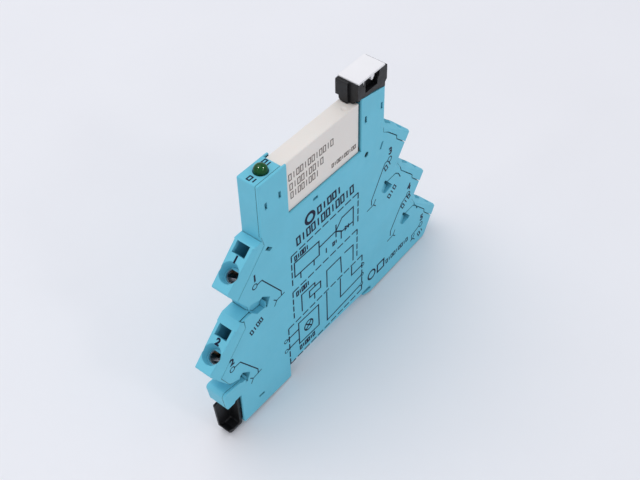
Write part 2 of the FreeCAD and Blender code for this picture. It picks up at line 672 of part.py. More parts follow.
def relay_box(x0, x1, y0, y1, z0, z1):
    return box(rx(x0), rx(x1), y0, y1, rz(z0), rz(z1))


def relay_prism(points, y0, y1):
    return prism([(rx(p[0]), rz(p[1])) + tuple(p[2:]) for p in points], y0, y1)


def relay_case():
    half = RELAY_THICKNESS / 2
    shell = relay_box(0, RELAY_LENGTH, -half, half, 0, RELAY_HEIGHT)
    edges = [e for e in shell.Edges if e.BoundBox.ZMax > rz(0.1)]
    shell = shell.makeFillet(0.35, edges)
    inside = relay_box(RELAY_WALL, RELAY_LENGTH - RELAY_WALL, -half + RELAY_WALL, half - RELAY_WALL,
                       -1, RELAY_HEIGHT - RELAY_WALL)
    ball = 1.7
    dimples = [Part.makeSphere(ball, V(rx(x), y, rz(RELAY_HEIGHT - depth) + ball))
               for x, y, depth in ((24.2, -0.8, 0.15), (25.8, 1.4, 0.08))]
    return cut(shell.cut(inside), dimples)


def relay_base():
    half = RELAY_THICKNESS / 2 - RELAY_WALL
    plate = relay_box(RELAY_WALL, RELAY_LENGTH - RELAY_WALL, -half, half, 0, BASE_H)
    wall = relay_box(12.0, 12.6, -half, half, BASE_H - 0.1, 2.0)
    plate = join([plate, wall])
    for key, x in PIN_X.items():
        plate = plate.cut(relay_box(x - 0.3, x + 0.3, -0.55, 0.55, -1, 3))
    for x0, x1 in ((13.9, 18.9), (21.1, 25.5)):
        plate = plate.cut(relay_box(x0, x1, -0.55, 0.55, 1.0, 3))
    return plate


def relay_bobbin():
    flanges = [relay_box(x, x + 0.6, -2.05, 2.05, 3.1, 11.6) for x in (COIL_X[0] - 0.6, COIL_X[1])]
    tube = relay_box(COIL_X[0] - 0.1, COIL_X[1] + 0.1, -1.25, 1.25, CORE_Z - 1.6, CORE_Z + 1.6)
    hole = relay_box(0, 14, -0.8, 0.8, CORE_Z - 1.1, CORE_Z + 1.1)
    return join([tube] + flanges).cut(hole)


def relay_coil():
    outer = relay_box(COIL_X[0], COIL_X[1], -1.95, 1.95, *COIL_Z)
    long_edges = [e for e in outer.Edges if e.BoundBox.XLength > 5]
    outer = outer.makeFillet(1.5, long_edges)
    return outer.cut(relay_box(0, 14, -1.25, 1.25, CORE_Z - 1.6, CORE_Z + 1.6))


def relay_core():
    bar = relay_box(1.0, 12.5, -0.8, 0.8, CORE_Z - 1.1, CORE_Z + 1.1)
    pole = relay_box(12.2, 12.8, -1.7, 1.7, CORE_Z - 2.0, CORE_Z + 2.0)
    return join([bar, pole])


def relay_yoke():
    return relay_prism([(0.7, 10.0), (0.7, YOKE_Z[0]), (12.9, YOKE_Z[0]), (12.9, YOKE_Z[1]),
                        (1.7, YOKE_Z[1]), (1.7, 10.0)], -1.9, 1.9).cut(
        relay_box(1.0, 2.0, -0.8, 0.8, CORE_Z - 1.1, CORE_Z + 1.1))


def relay_armature():
    plate = relay_box(ARMATURE_X + 0.1, ARMATURE_X + 0.9, -1.8, 1.8, ARM_HINGE_Z - 0.6, 11.4)
    tip = relay_box(ARMATURE_X + 0.1, ARMATURE_X + 0.9, -0.8, 0.8, 11.3, 12.7)
    return join([plate, tip])


def relay_pusher():
    low, high = PUSHER_Z
    bar = relay_box(12.6, 21.2, -1.6, 1.6, low, high)
    notch_a = relay_box(ARMATURE_X - 0.1, ARMATURE_X + 1.1, -1.0, 1.0, low - 1, high + 1)
    notch_b = relay_box(SPRING_X - 0.35, SPRING_X + 0.35, -1.3, 1.3, low - 1, high + 1)
    return bar.cut(notch_a).cut(notch_b)


def relay_common_spring():
    return relay_box(SPRING_X - 0.12, SPRING_X + 0.12, -1.1, 1.1, 2.0, 12.7)


def relay_moving_contact():
    parts = [Part.makeCylinder(0.75, 0.45, V(rx(SPRING_X + 0.12), 0, rz(9.0)), V(1, 0, 0)),
             Part.makeCylinder(0.75, 0.45, V(rx(SPRING_X - 0.12), 0, rz(9.0)), V(-1, 0, 0))]
    return Part.makeCompound(parts)


def relay_common_pin():
    return relay_box(SPRING_X - 0.25, SPRING_X + 0.25, -0.5, 0.5, -PIN_LENGTH, 1.9)


def fixed_contact(post_x, pin_x, side):
    """Upright post with a rivet facing the moving contact, and a pin further along the base."""
    post = relay_box(post_x - 0.2, post_x + 0.2, -0.9, 0.9, 1.7, 10.2)
    neck = relay_box(post_x - 0.2, post_x + 0.2, -0.5, 0.5, 1.1, 1.8)
    low, high = sorted((post_x, pin_x))
    link = relay_box(low - 0.2, high + 0.2, -0.5, 0.5, 1.05, 1.5)
    pin = relay_box(pin_x - 0.25, pin_x + 0.25, -0.5, 0.5, -PIN_LENGTH, 1.3)
    rivet = Part.makeCylinder(0.8, 0.4, V(rx(post_x + side * 0.2), 0, rz(9.0)), V(side, 0, 0))
    return join([post, neck, link, pin, rivet])


def relay_contact_nc():
    """Closed at rest: it stands on the armature's far side of the spring."""
    return fixed_contact(SPRING_X + 1.25, PIN_X["no"], -1)


def relay_contact_no():
    return fixed_contact(SPRING_X - 1.7, PIN_X["nc"], 1)


def relay_coil_pins():
    return Part.makeCompound([relay_box(PIN_X[key] - 0.25, PIN_X[key] + 0.25, -0.5, 0.5,
                                        -PIN_LENGTH, 1.55) for key in ("coil_1", "coil_2")])


# ---- export -------------------------------------------------------------------------------
def parts():
    made = {
        "housing_shell": housing_shell(),
        "side_cover": side_cover(),
        "circuit_board": circuit_board(),
        "bridge_rectifier": board_part(-18.8, -14.2, 34.0, 38.0, 1.6),
        "series_resistor": board_part(-18.6, -15.4, 42.6, 44.4, 0.7),
        "suppressor_diode": board_part(-11.0, -6.7, 38.0, 40.6, 1.6),
        "led_emitter": led_emitter(),
        "led_lens": led_lens(),
        "coil_receptacles": coil_receptacles(),
        "foot_latch": foot_latch(),
        "retaining_lever": retaining_lever(),
        "marker_plate": marker_plate(),
        "relay_case": relay_case(),
        "relay_base": relay_base(),
        "relay_bobbin": relay_bobbin(),
        "relay_coil": relay_coil(),
        "relay_core": relay_core(),
        "relay_yoke": relay_yoke(),
        "relay_armature": relay_armature(),
        "relay_pusher": relay_pusher(),
        "relay_common_spring": relay_common_spring(),
        "relay_moving_contact": relay_moving_contact(),
        "relay_contact_no": relay_contact_no(),
        "relay_contact_nc": relay_contact_nc(),
        "relay_common_pin": relay_common_pin(),
        "relay_coil_pins": relay_coil_pins(),
        "busbar_a1": busbar(A1),
        "busbar_a2": busbar(A2),
        "busbar_14": busbar(T14, "no"),
        "busbar_11": busbar(T11, "common"),
        "busbar_12": busbar(T12, "nc"),
    }
    for terminal in TERMINALS:
        made["clamp_spring_" + terminal.name] = clamp_spring(terminal)
    return made


def main():
    os.makedirs("parts", exist_ok=True)
    for name, shape in parts().items():
        if not shape.isValid():
            print("not valid:", name)
        shape.exportStep("parts/" + name + ".step")
        span = shape.BoundBox
        print("%-22s solids %d  x %.1f..%.1f  y %.1f..%.1f  z %.1f..%.1f" % (
            name, len(shape.Solids), span.XMin, span.XMax, span.YMin, span.YMax, span.ZMin, span.ZMax))


main()
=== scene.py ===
import json
import math

import bmesh
import bpy
from mathutils import Matrix, Vector


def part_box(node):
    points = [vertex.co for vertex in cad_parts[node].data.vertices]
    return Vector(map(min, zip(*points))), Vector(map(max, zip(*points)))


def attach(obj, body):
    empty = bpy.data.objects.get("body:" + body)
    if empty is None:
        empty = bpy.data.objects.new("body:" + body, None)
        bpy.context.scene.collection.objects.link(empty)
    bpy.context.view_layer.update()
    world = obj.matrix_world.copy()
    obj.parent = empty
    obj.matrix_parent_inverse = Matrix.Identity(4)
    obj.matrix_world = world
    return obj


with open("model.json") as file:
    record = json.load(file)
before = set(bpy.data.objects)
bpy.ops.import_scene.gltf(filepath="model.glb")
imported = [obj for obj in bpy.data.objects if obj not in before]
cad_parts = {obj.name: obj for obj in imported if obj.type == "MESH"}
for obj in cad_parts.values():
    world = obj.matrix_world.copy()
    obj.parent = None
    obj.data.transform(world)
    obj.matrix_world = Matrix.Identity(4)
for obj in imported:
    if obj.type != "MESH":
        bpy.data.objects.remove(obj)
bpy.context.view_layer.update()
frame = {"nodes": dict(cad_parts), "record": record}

# Looks of a slim rail relay: materials, printed marks, floor, light and camera.
# Metres, in the frame of the CAD model: +X from the coil side to the contact side,
# -Y towards the printed cover, +Z away from the rail.

MM = 0.001
scene = bpy.context.scene


# ---- placing things on the model ----------------------------------------------------------
COVER_LOW, COVER_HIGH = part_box("side_cover")
RELAY_LOW, RELAY_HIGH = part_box("relay_case")
LAMP_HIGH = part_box("led_lens")[1]
LAMP_X = -20.0
COVER_FACE = COVER_LOW.y
RELAY_FACE = RELAY_LOW.y
INK_THICKNESS = 0.02 * MM
BOLD = 0.13 * MM       # how much the numerals' strokes grow
LETTER_MARGIN = 0.12   # gap before a stand-in letter, as a share of the letters' pitch
LETTER_WIDTH = 0.62
CAPITALS = 0.72        # height of the font's capitals, as a share of its size
RING_STEPS = 20


class Terminal:
    """One slanting wire block: its outer lower corner, the top of its slope and its sense."""

    def __init__(self, number, corner, top):
        self.number = number
        self.corner = Vector((corner[0], 0, corner[1])) * MM
        self.up = Vector((top[0] - corner[0], 0, top[1] - corner[1])).normalized()
        self.across = Vector((0, -1 if corner[0] < 0 else 1, 0))
        self.out = self.across.cross(self.up)

    def spot(self, along, proud=0.0):
        return self.corner + self.up * along * MM + self.out * proud

    def basis(self):
        return Matrix((self.across, self.up, self.out)).transposed()


TERMINALS = (
    Terminal("1", (-36.7, 44.3), (-27.1, 52.6)),
    Terminal("2", (-45.4, 22.9), (-35.6, 31.3)),
    Terminal("3", (33.2, 47.1), (21.6, 58.2)),
    Terminal("4", (41.3, 27.3), (28.6, 40.4)),
    Terminal("5", (48.6, 8.3), (36.9, 20.9)),
)
PASSAGE_AT = 4.3    # distance of a wire passage's axis from its block's lower corner
LABEL_AT = 8.2      # distance of a block's number from its lower corner


# ---- materials ----------------------------------------------------------------------------
def scaled(colour, factor):
    return tuple(min(1.0, channel * factor) for channel in colour)


class Shader:
    """A node tree with a few helpers, so that each material reads as a recipe."""

    def __init__(self, name, bevel=0.15 * MM):
        self.material = bpy.data.materials.new(name)
        self.material.use_nodes = True
        self.tree = self.material.node_tree
        self.surface = self.tree.nodes["Principled BSDF"]
        self.place = self.node("ShaderNodeTexCoord").outputs["Object"]
        self.rounding = self.node("ShaderNodeBevel", samples=4)
        self.rounding.inputs["Radius"].default_value = bevel

    def node(self, kind, **settings):
        made = self.tree.nodes.new(kind)
        for key, value in settings.items():
            setattr(made, key, value)
        return made

    def link(self, source, target):
        self.tree.links.new(source, target)

    def set(self, **values):
        for key, value in values.items():
            self.surface.inputs[key.replace("_", " ").title().replace("Ior", "IOR")].default_value = value

    def stretched(self, scale):
        mapping = self.node("ShaderNodeMapping")
        mapping.inputs["Scale"].default_value = scale
        self.link(self.place, mapping.inputs["Vector"])
        return mapping.outputs["Vector"]

    def noise(self, size, detail=2.0, stretch=None):
        """Cloudy values about 0.5; size is the width of one patch, in mm."""
        texture = self.node("ShaderNodeTexNoise")
        texture.inputs["Scale"].default_value = 1.0 / (size * MM)
        texture.inputs["Detail"].default_value = detail
        self.link(self.stretched(stretch) if stretch else self.place, texture.inputs["Vector"])
        return texture.outputs["Fac"]

    def level(self, source, low, high, from_low=0.3, from_high=0.7):
        ramp = self.node("ShaderNodeMapRange")
        for key, value in (("From Min", from_low), ("From Max", from_high),
                           ("To Min", low), ("To Max", high)):
            ramp.inputs[key].default_value = value
        self.link(source, ramp.inputs["Value"])
        return ramp.outputs["Result"]

    def mix(self, factor, first, second):
        blend = self.node("ShaderNodeMix", data_type="RGBA")
        self.link(factor, blend.inputs["Factor"])
        for value, socket in ((first, blend.inputs[6]), (second, blend.inputs[7])):
            if isinstance(value, tuple):
                socket.default_value = (*value, 1.0)
            else:
                self.link(value, socket)
        return blend.outputs[2]

    def edges(self, reach=0.25):
        """0 on the flats, rising to 1 where the rounded normal leaves the face's own: the mask of the
        painted edge highlight.
        """
        own = self.node("ShaderNodeNewGeometry").outputs["True Normal"]
        dot = self.node("ShaderNodeVectorMath", operation="DOT_PRODUCT")
        self.link(own, dot.inputs[0])
        self.link(self.rounding.outputs["Normal"], dot.inputs[1])
        return self.level(dot.outputs["Value"], 1.0, 0.0, 1.0 - reach, 1.0)

    def crevice_shade(self, reach, deepest, shut, open_sky):
        """Painted shade factor: 1 where more sky than open_sky is seen within the reach in mm, `deepest`
        under shut.
        """
        occlusion = self.node("ShaderNodeAmbientOcclusion", samples=6, only_local=False)
        occlusion.inputs["Distance"].default_value = reach * MM
        return self.level(occlusion.outputs["AO"], deepest, 1.0, shut, open_sky)

    def with_painted_shade(self, source, factor):
        """The colour times a grey factor, which paints shade into it."""
        product = self.node("ShaderNodeVectorMath", operation="MULTIPLY")
        self.link(source, product.inputs[0])
        self.link(factor, product.inputs[1])
        return product.outputs["Vector"]

    def colour(self, source):
        self.link(source, self.surface.inputs["Base Color"])

    def roughness(self, source):
        self.link(source, self.surface.inputs["Roughness"])

    def bump(self, height, depth):
        """Relief of the given depth in mm, on top of the rounded edges."""
        relief = self.node("ShaderNodeBump")
        relief.inputs["Strength"].default_value = 1.0
        relief.inputs["Distance"].default_value = depth * MM
        self.link(height, relief.inputs["Height"])
        self.link(self.rounding.outputs["Normal"], relief.inputs["Normal"])
        self.link(relief.outputs["Normal"], self.surface.inputs["Normal"])


def moulded_plastic(name, colour, rough=(0.38, 0.5), grain=0.12, relief=0.006, tint=0.03,
                    edge_highlight=1.12, subsurface=0.0, gloss=0.5):
    """Satin plastic: cloudy tint, fine spark-eroded grain, a painted highlight along the rounded edges, and
    painted shade in seams, slits and hollows.
    """
    shader = Shader(name)
    light, dark = scaled(colour, 1 + tint), scaled(colour, 1 - tint)
    clouds = shader.mix(shader.level(shader.noise(9.0, 4.0), 0.0, 1.0), dark, light)
    # Painted highlight: the colour is lightened along the rounded edges, as if they caught the light.
    edge_lit_colour = shader.mix(shader.edges(), clouds, scaled(colour, edge_highlight))
    # Painted shade: ambient occlusion darkens the colour itself in seams, narrow slits, holes and concave
    # corners.
    seam_shade = shader.crevice_shade(reach=0.4, deepest=0.06, shut=0.36, open_sky=0.8)
    slit_shade = shader.crevice_shade(reach=2.0, deepest=0.12, shut=0.1, open_sky=0.34)
    shader.colour(shader.with_painted_shade(shader.with_painted_shade(edge_lit_colour, seam_shade), slit_shade))
    shader.roughness(shader.level(shader.noise(1.2, 3.0), *rough))
    shader.bump(shader.noise(grain, 2.0), relief)
    shader.set(ior=1.5, specular_ior_level=gloss)
    if subsurface:
        shader.set(subsurface_weight=subsurface, subsurface_scale=1.0 * MM)
        shader.surface.inputs["Subsurface Radius"].default_value = (0.6, 1.0, 1.2)
    return shader.material


def rolled_metal(name, colour, rough=(0.22, 0.38)):
    """Stamped strip: fine rolling lines along one direction and a cloudy plating."""
    shader = Shader(name, 0.06 * MM)
    shader.set(metallic=1.0)
    lines = shader.noise(0.25, 3.0, stretch=(1, 1, 8))
    light, dark = scaled(colour, 1.12), scaled(colour, 0.88)
    shader.colour(shader.mix(shader.level(shader.noise(1.5, 3.0), 0.0, 1.0), dark, light))
    shader.roughness(shader.level(lines, *rough))
    shader.bump(lines, 0.004)
    return shader.material


def printed_ink(name, colour):
    """Pad-printed ink: slightly uneven film."""
    shader = Shader(name, 0.01 * MM)
    thin = tuple(c * 1.3 + 0.004 for c in colour)
    patches = shader.noise(0.35, 3.0)
    shader.colour(shader.mix(shader.level(patches, 0.0, 1.0, 0.45, 0.8), colour, thin))
    shader.roughness(shader.level(patches, 0.42, 0.57))
    shader.set(specular_ior_level=0.15)
    return shader.material


def winding(name, colour):
    """Enamelled wire wound on a bobbin: round turns across the coil's length, with painted shade in the
    grooves between turns.
    """
    shader = Shader(name, 0.05 * MM)
    shader.set(metallic=0.7, coat_weight=0.4, coat_roughness=0.15)
    wave = shader.node("ShaderNodeTexWave", bands_direction="X", wave_profile="SIN")
    wave.inputs["Scale"].default_value = 1.0 / (0.9 * MM)
    wave.inputs["Distortion"].default_value = 0.6
    shader.link(shader.place, wave.inputs["Vector"])
    # Painted shade: the colour darkens to about a third in the grooves between the turns.
    shader.colour(shader.mix(wave.outputs["Fac"], scaled(colour, 0.35), colour))
    shader.roughness(shader.level(shader.noise(0.5), 0.25, 0.45))
    shader.bump(wave.outputs["Fac"], 0.03)
    return shader.material


def led_plastic(name, colour):
    """Clear tinted dome, glossy, with a faint swirl inside."""
    shader = Shader(name, 0.05 * MM)
    swirl = shader.level(shader.noise(0.8, 2.0), 0.0, 1.0)
    shader.colour(shader.mix(swirl, scaled(colour, 0.5), colour))
    shader.roughness(shader.level(shader.noise(0.6), 0.06, 0.14))
    shader.bump(shader.noise(0.7), 0.005)
    shader.set(ior=1.5, specular_ior_level=0.25)
    return shader.material


def board_laminate(name, colour):
    """Solder mask over glass weave, with the copper tracks showing through faintly."""
    shader = Shader(name, 0.05 * MM)
    weave = shader.node("ShaderNodeTexChecker")
    weave.inputs["Scale"].default_value = 1.0 / (0.4 * MM)
    shader.link(shader.place, weave.inputs["Vector"])
    light = tuple(c * 1.35 + 0.01 for c in colour)
    shader.colour(shader.mix(shader.level(shader.noise(1.0, 1.0), 0.0, 1.0, 0.48, 0.52), colour, light))
    shader.roughness(shader.level(shader.noise(0.6), 0.2, 0.35))
    shader.bump(weave.outputs["Fac"], 0.008)
    return shader.material


SLOT_MATERIALS = {
    "housing_plastic": moulded_plastic("housing blue", (0.15, 0.54, 0.69), rough=(0.44, 0.56),
                                       subsurface=0.05, gloss=0.3),
    # The black lever's edges get the strongest painted highlight.
    "black_plastic": moulded_plastic("lever black", (0.0045, 0.0045, 0.0055), rough=(0.4, 0.54),
                                     grain=0.2, relief=0.01, edge_highlight=2.4, gloss=0.4),
    "marker_white": moulded_plastic("marker white", (0.86, 0.85, 0.86), rough=(0.45, 0.6),
                                    relief=0.004, tint=0.015, edge_highlight=1.0),
    "relay_cream": moulded_plastic("relay cream", (0.80, 0.755, 0.70), rough=(0.32, 0.42),
                                   grain=0.25, relief=0.003, tint=0.02, edge_highlight=1.06, subsurface=0.1),
    "relay_inner_plastic": moulded_plastic("relay inner plastic", (0.03, 0.03, 0.033)),
    "component_black": moulded_plastic("component epoxy", (0.018, 0.018, 0.02), rough=(0.5, 0.65)),
    "board": board_laminate("board mask", (0.012, 0.10, 0.03)),
    "led_green": led_plastic("lamp green", (0.0015, 0.05, 0.009)),
    "copper_alloy": rolled_metal("copper alloy", (0.72, 0.50, 0.28)),
    "tin_plated": rolled_metal("tin plate", (0.72, 0.73, 0.74)),
    "spring_steel": rolled_metal("spring steel", (0.60, 0.61, 0.63), rough=(0.15, 0.3)),
    "magnet_iron": rolled_metal("magnet iron", (0.48, 0.49, 0.51), rough=(0.3, 0.45)),
    "silver_contact": rolled_metal("silver contact", (0.85, 0.84, 0.82), rough=(0.12, 0.25)),
    "coil_wire": winding("enamelled wire", (0.62, 0.20, 0.07)),
}
INK = printed_ink("navy ink", (0.004, 0.006, 0.03))
RELAY_INK = printed_ink("grey ink", (0.15, 0.125, 0.11))


def dress_nodes():
    """Gives every CAD node its slot's material."""
    for row in frame["record"]["subparts"]:
        node = frame["nodes"][row["node"]]
        node.data.materials.clear()
        node.data.materials.append(SLOT_MATERIALS[row["material_slot"]])


# ---- printed marks ------------------------------------------------------------------------
class Print:
    """Ink drawn in one plane as ribbons.  Points are (right, up) in mm on that plane."""

    def __init__(self, name, body, ink, basis, origin, width=0.3):
        self.name, self.body, self.ink = name, body, ink
        self.basis, self.origin, self.width = basis, origin, width
        self.mesh = bmesh.new()

    def corner(self, right, up):
        return self.mesh.verts.new(self.origin + self.basis @ Vector((right * MM, up * MM, INK_THICKNESS)))

    def line(self, *points, closed=False, width=None):
        """A ribbon through the points with mitred corners."""
        half = (width or self.width) / 2
        spots = [Vector(p) for p in points]
        count = len(spots)
        rails = []
        for i, spot in enumerate(spots):
            before = spots[i - 1] if i or closed else None
            after = spots[(i + 1) % count] if i < count - 1 or closed else None
            into = (spot - before).normalized() if before is not None else None
            out = (after - spot).normalized() if after is not None else None
            along = ((into or out) + (out or into)).normalized()
            side = Vector((-along.y, along.x))
            stretch = 1.0 / max(0.5, along.dot(out or into))
            rails.append((self.corner(*(spot + side * half * stretch)),
                          self.corner(*(spot - side * half * stretch))))
        for i in range(count if closed else count - 1):
            (a, b), (c, d) = rails[i], rails[(i + 1) % count]
            self.mesh.faces.new((a, b, d, c))

    def ring(self, centre, radius, width=None):
        angles = [2 * math.pi * k / RING_STEPS for k in range(RING_STEPS)]
        self.line(*[(centre[0] + radius * math.cos(angle), centre[1] + radius * math.sin(angle))
                    for angle in angles], closed=True, width=width)

    def frame(self, left, right, low, high):
        self.line((left, low), (right, low), (right, high), (left, high), closed=True)

    def dashes(self, start, end, dash=2.2, gap=0.7):
        run = Vector(end) - Vector(start)
        step = run.normalized()
        count = max(1, round((run.length + gap) / (dash + gap)))
        dash = (run.length + gap) / count - gap
        for k in range(count):
            first = Vector(start) + step * k * (dash + gap)
            self.line(first, first + step * dash)

    def wording(self, start, end, height, letters):
        """Stands for a word: a row of plain upright blocks, hollow ones and bars in turn."""
        run = Vector(end) - Vector(start)
        pitch = run.length / letters
        step = run.normalized()
        up = Vector((-step.y, step.x))
        for k in range(letters):
            foot = Vector(start) + step * pitch * (k + LETTER_MARGIN)
            wide = step * pitch * LETTER_WIDTH
            if k % 3 == 1:
                self.line(foot + wide / 2, foot + wide / 2 + up * height)
            else:
                self.line(foot, foot + wide, foot + wide + up * height, foot + up * height, closed=True)

    def done(self):
        data = bpy.data.meshes.new(self.name)
        bmesh.ops.recalc_face_normals(self.mesh, faces=self.mesh.faces)
        self.mesh.to_mesh(data)
        self.mesh.free()
        piece = bpy.data.objects.new(self.name, data)
        scene.collection.objects.link(piece)
        data.materials.append(self.ink)
        film = piece.modifiers.new("film", "SOLIDIFY")
        film.thickness = INK_THICKNESS
        film.offset = 0.0
        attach(piece, self.body)


FACING_FRONT = Matrix(((1, 0, 0), (0, 0, -1), (0, 1, 0)))    # columns: right, up, out of the face


def cover_print(name, width=0.42):
    return Print(name, "housing", INK, FACING_FRONT, Vector((0, COVER_FACE, 0)), width)


def relay_print(name, width=0.25):
    return Print(name, "relay", RELAY_INK, FACING_FRONT, Vector((0, RELAY_FACE, 0)), width)


def number(name, text, basis, spot, height):
    """A plain numeral, centred on its spot and lying on the face."""
    curve = bpy.data.curves.new(name, "FONT")
    curve.body = text
    curve.size = height * MM / CAPITALS
    curve.align_x = curve.align_y = "CENTER"
    curve.extrude = INK_THICKNESS / 2
    curve.offset = BOLD
    curve.materials.append(INK)
    piece = bpy.data.objects.new(name, curve)
    scene.collection.objects.link(piece)
    piece.matrix_world = Matrix.Translation(spot) @ basis.to_4x4()
    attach(piece, "housing")


def number_on_cover(text, x, z, height, name):
    number(name, text, FACING_FRONT,
           Vector((x * MM, COVER_FACE - INK_THICKNESS / 2, z * MM)), height)


def terminal_symbol(name, ring, knee, end, tick, text):
    """Ring at the wire entry, a lead running inwards, and the mark of a spring clamp."""
    mark = cover_print("print_lead_" + name, 0.3)
    ring_radius = 0.8
    side = 1 if knee[0] > ring[0] else -1
    mark.ring(ring, ring_radius, 0.26)
    mark.line((ring[0] + side * ring_radius, ring[1]), knee, (end[0], end[1] + 1.8), end)
    first, last = tick
    mark.line(first, last, width=0.26)
    heading = (Vector(last) - Vector(first)).normalized()
    across = Vector((-heading.y, heading.x))
    mark.line(Vector(last) + heading * 1.1 + across * 1.3, last,
              Vector(last) + heading * 0.9 - across * 1.2, width=0.26)
    mark.done()
    number_on_cover(text, ring[0] + 0.2, ring[1] + 2.6, 2.2, "print_number_" + name)


def terminal_symbols():
    terminal_symbol("a1", (-28.2, 40.5), (-25.7, 40.6), (-19.4, 29.3), ((-18.2, 29.6), (-21.2, 29.2)), "1")
    terminal_symbol("a2", (-38.5, 19.3), (-35.6, 19.3), (-29.9, 8.8), ((-28.6, 9.2), (-31.8, 8.7)), "2")
    terminal_symbol("14", (24.6, 43.1), (22.6, 43.0), (17.1, 32.1), ((15.2, 31.3), (18.0, 31.6)), "3")
    terminal_symbol("11", (34.1, 23.4), (31.0, 22.0), (26.3, 13.2), ((24.9, 12.0), (27.6, 12.4)), "4")
    terminal_symbol("12", (41.6, 5.6), (39.8, 5.2), (37.2, 2.6), ((36.6, 2.4), (37.8, 2.6)), "5")


def terminal_numbers():
    """Each wire block's number, between its two openings."""
    for terminal in TERMINALS:
        number("print_block_" + terminal.number, terminal.number, terminal.basis(),
               terminal.spot(LABEL_AT, INK_THICKNESS / 2), 1.8)


def relay_circuit():
    """Upper dashed frame: coil and change-over contact."""
    mark = cover_print("print_circuit_top")
    mark.dashes((-15.1, 39.6), (11.3, 41.1))
    mark.dashes((-15.1, 39.6), (-15.1, 29.1))
    mark.dashes((11.3, 41.1), (11.3, 30.8))
    mark.wording((-13.9, 37.0), (-8.4, 37.3), 1.5, 5)
    mark.frame(-14.1, -4.6, 31.4, 36.4)
    mark.line((-11.9, 31.4), (-11.9, 29.2))
    mark.line((-6.7, 31.4), (-6.7, 29.4))
    mark.line((-4.6, 34.1), (2.2, 34.6))
    mark.line((2.2, 32.4), (2.2, 36.8), width=0.45)
    mark.line((2.2, 34.6), (4.6, 37.4), (9.3, 37.7), (9.3, 30.8))
    mark.line((2.2, 34.4), (4.3, 32.9), (4.3, 30.1))
    mark.line((4.3, 32.6), (6.0, 32.5))
    mark.line((6.0, 31.9), (6.0, 33.1), (7.2, 32.5), closed=True)
    mark.line((7.35, 31.8), (7.35, 33.2))
    mark.line((7.35, 32.5), (9.3, 32.4))
    mark.wording((0.8, 30.2), (2.8, 30.3), 1.1, 2)
    mark.line((-1.8, 29.9), (-1.8, 31.6))
    mark.done()


def socket_circuit():
    """Middle dashed frame and the leads under it."""
    mark = cover_print("print_circuit_middle")
    mark.dashes((-15.2, 26.6), (11.0, 28.1))
    mark.dashes((-15.2, 26.6), (-15.2, 16.6))
    mark.dashes((11.0, 28.1), (11.0, 17.9))
    mark.wording((-13.9, 23.9), (-8.6, 24.2), 1.5, 5)
    mark.line((-12.0, 16.4), (-12.0, 22.8), (-6.7, 22.8), (-6.7, 21.4))
    mark.frame(-8.9, -4.4, 19.0, 21.4)
    mark.line((-6.9, 19.0), (-6.9, 16.8))
    mark.line((-1.8, 16.6), (-1.8, 23.1), (4.0, 23.4), (4.3, 17.1))
    mark.line((5.6, 23.6), (9.3, 23.6), (9.3, 17.6))
    mark.done()


def module_circuit():
    """Lower closed frame: the input with its lamp, and the three contact leads."""
    mark = cover_print("print_circuit_low")
    corners = ((-17.6, -0.1), (-17.6, 14.5), (13.3, 16.3), (13.3, 2.3))
    for k, corner in enumerate(corners):
        mark.dashes(corner, corners[(k + 1) % len(corners)])
    mark.frame(-13.7, -5.5, 4.7, 13.0)
    mark.ring((-9.7, 8.8), 1.7)
    mark.line((-10.9, 7.6), (-8.5, 10.0))
    mark.line((-10.9, 10.0), (-8.5, 7.6))
    for height in (10.6, 6.6):
        mark.ring((-18.9, height), 0.6, 0.24)
        mark.line((-18.3, height), (-13.7, height + 0.2))
    mark.wording((-13.6, 2.0), (-7.2, 2.4), 1.4, 6)
    for points in (((-2.0, 14.9), (-2.0, 3.3), (12.6, 4.6)), ((3.8, 15.1), (3.8, 7.6), (12.8, 8.4)),
                   ((8.7, 15.6), (8.7, 12.1), (13.0, 12.3))):
        mark.line(*points)
        end = points[-1]
        mark.ring((end[0] + 0.6, end[1]), 0.6, 0.24)
    mark.done()


def cover_wording():
    """Plain stand-ins for the maker's line, the type line and the small words."""
    mark = cover_print("print_heading", 0.55)
    mark.ring((-7.6, 47.1), 1.6, 0.9)
    mark.wording((-4.8, 46.0), (4.8, 46.6), 2.2, 5)
    mark.done()
    mark = cover_print("print_type_line", 0.5)
    mark.wording((-12.9, 41.6), (9.8, 42.9), 2.5, 12)
    mark.done()
    mark = cover_print("print_small_words", 0.32)
    mark.wording((-30.9, 25.0), (-26.2, 27.0), 1.5, 4)
    mark.wording((22.8, 40.0), (25.8, 41.4), 1.6, 2)
    mark.wording((25.0, 28.5), (28.4, 31.0), 1.6, 3)
    mark.wording((31.6, 19.6), (35.6, 22.2), 1.6, 3)
    mark.wording((40.6, 1.4), (43.2, 2.6), 1.4, 2)
    mark.wording((24.6, 3.2), (35.4, 4.2), 1.3, 9)
    mark.done()
    mark = cover_print("print_plain_signs", 0.55)
    mark.ring((17.9, 4.4), 1.6)
    mark.line((20.6, 2.9), (23.6, 3.1), (23.6, 6.1), (20.6, 5.9), closed=True)
    mark.done()


def relay_wording():
    """Plain stand-ins for the relay's own print."""
    mark = relay_print("print_relay_lines")
    for left, drop, length, letters in ((2.0, 5.9, 16.5, 12), (2.2, 8.9, 12.5, 9), (2.4, 11.6, 10.5, 8)):
        x = RELAY_LOW.x / MM + left
        z = RELAY_HIGH.z / MM - drop
        mark.wording((x, z), (x + length, z), 1.8, letters)
    mark.wording((RELAY_HIGH.x / MM - 10.5, RELAY_LOW.z / MM + 2.2),
                 (RELAY_HIGH.x / MM - 1.0, RELAY_LOW.z / MM + 2.2), 1.0, 10)
    mark.done()


